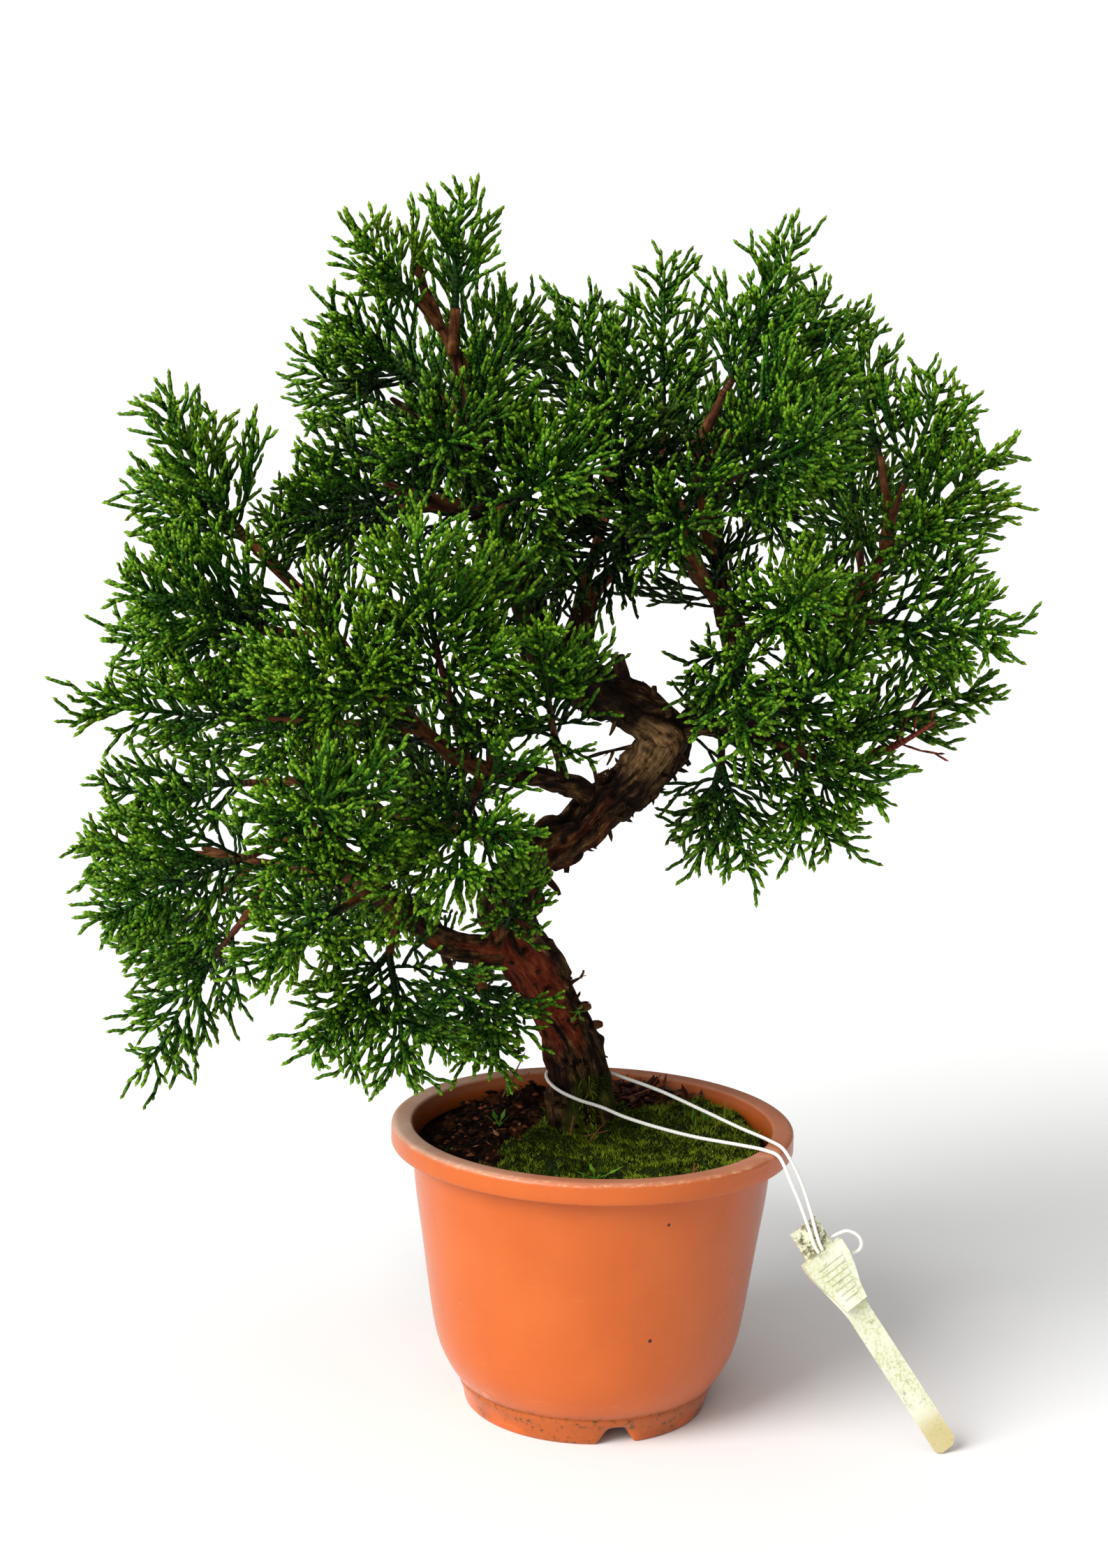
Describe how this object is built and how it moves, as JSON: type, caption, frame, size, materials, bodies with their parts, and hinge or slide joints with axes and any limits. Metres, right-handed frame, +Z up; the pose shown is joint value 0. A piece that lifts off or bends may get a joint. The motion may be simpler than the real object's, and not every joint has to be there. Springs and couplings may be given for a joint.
{
  "type": "potted chinese juniper bonsai",
  "caption": "Potted Chinese juniper bonsai with a curved bare trunk, scale-leaf sprays, mossy soil, a round plastic pot and a corded plant label.",
  "frame": {"origin": "on the surface that the pot's foot stands on, under the middle of the tree's and pot's bounding box", "axes": "+Z up, the tree's front faces -Y, +X to the right as seen from the front"},
  "size_m": [0.3346, 0.2442, 0.4411],
  "materials": {
    "pot": "satin orange-brown moulded plastic",
    "soil": "dark loose granular potting soil",
    "moss": "soft green moss",
    "bark": "dark fibrous peeling bark with red-brown live veins",
    "dead_twig": "dry brown twig",
    "foliage": "scale-leaf juniper shoots, deep green with bright tips",
    "cord": "white braided cord",
    "label": "cream plastic, bare, weathered"
  },
  "bodies": {
    "root": {"pot": "pot", "soil": "soil", "moss": "moss", "wood": "bark", "spray_apex": "foliage", "spray_crown_fan": "foliage", "spray_crown_left": "foliage", "spray_crown_right": "foliage", "spray_upper_left": "foliage", "spray_left_high": "foliage", "spray_left_wing": "foliage", "spray_left_mid": "foliage", "spray_left_far": "foliage", "spray_left_reach": "foliage", "spray_low_left": "foliage", "spray_low_left_front": "foliage", "spray_low_left_back": "foliage", "spray_hang_left": "foliage", "spray_hang_front": "foliage", "spray_hang_inner": "foliage", "spray_hang_back": "foliage", "spray_heart_front": "foliage", "spray_heart_left": "foliage", "spray_heart_right": "foliage", "spray_heart_low": "foliage", "spray_inner_tip": "foliage", "spray_neck_tuft": "foliage", "spray_low_front": "foliage", "spray_low_heart": "foliage", "spray_collar_front": "foliage", "spray_crown_front": "foliage", "spray_mid_back": "foliage", "spray_mid_tall": "foliage", "spray_mid_front": "foliage", "spray_right_tall": "foliage", "spray_right_crown": "foliage", "spray_right_top": "foliage", "spray_right_high": "foliage", "spray_right_reach": "foliage", "spray_right_wing": "foliage", "spray_right_wing_low": "foliage", "spray_right_heart": "foliage", "spray_right_inner": "foliage", "spray_right_low": "foliage", "spray_right_skirt": "foliage", "spray_right_hang": "foliage", "spray_right_front": "foliage", "spray_right_face": "foliage", "spray_back_crown": "foliage", "spray_back_spread": "foliage", "spray_back_far_right": "foliage", "spray_back_heart": "foliage", "spray_back_left": "foliage", "spray_back_low": "foliage", "dead_twig": "dead_twig", "cord": "cord", "cord_loop": "cord", "label": "label"}
  },
  "joints": []
}
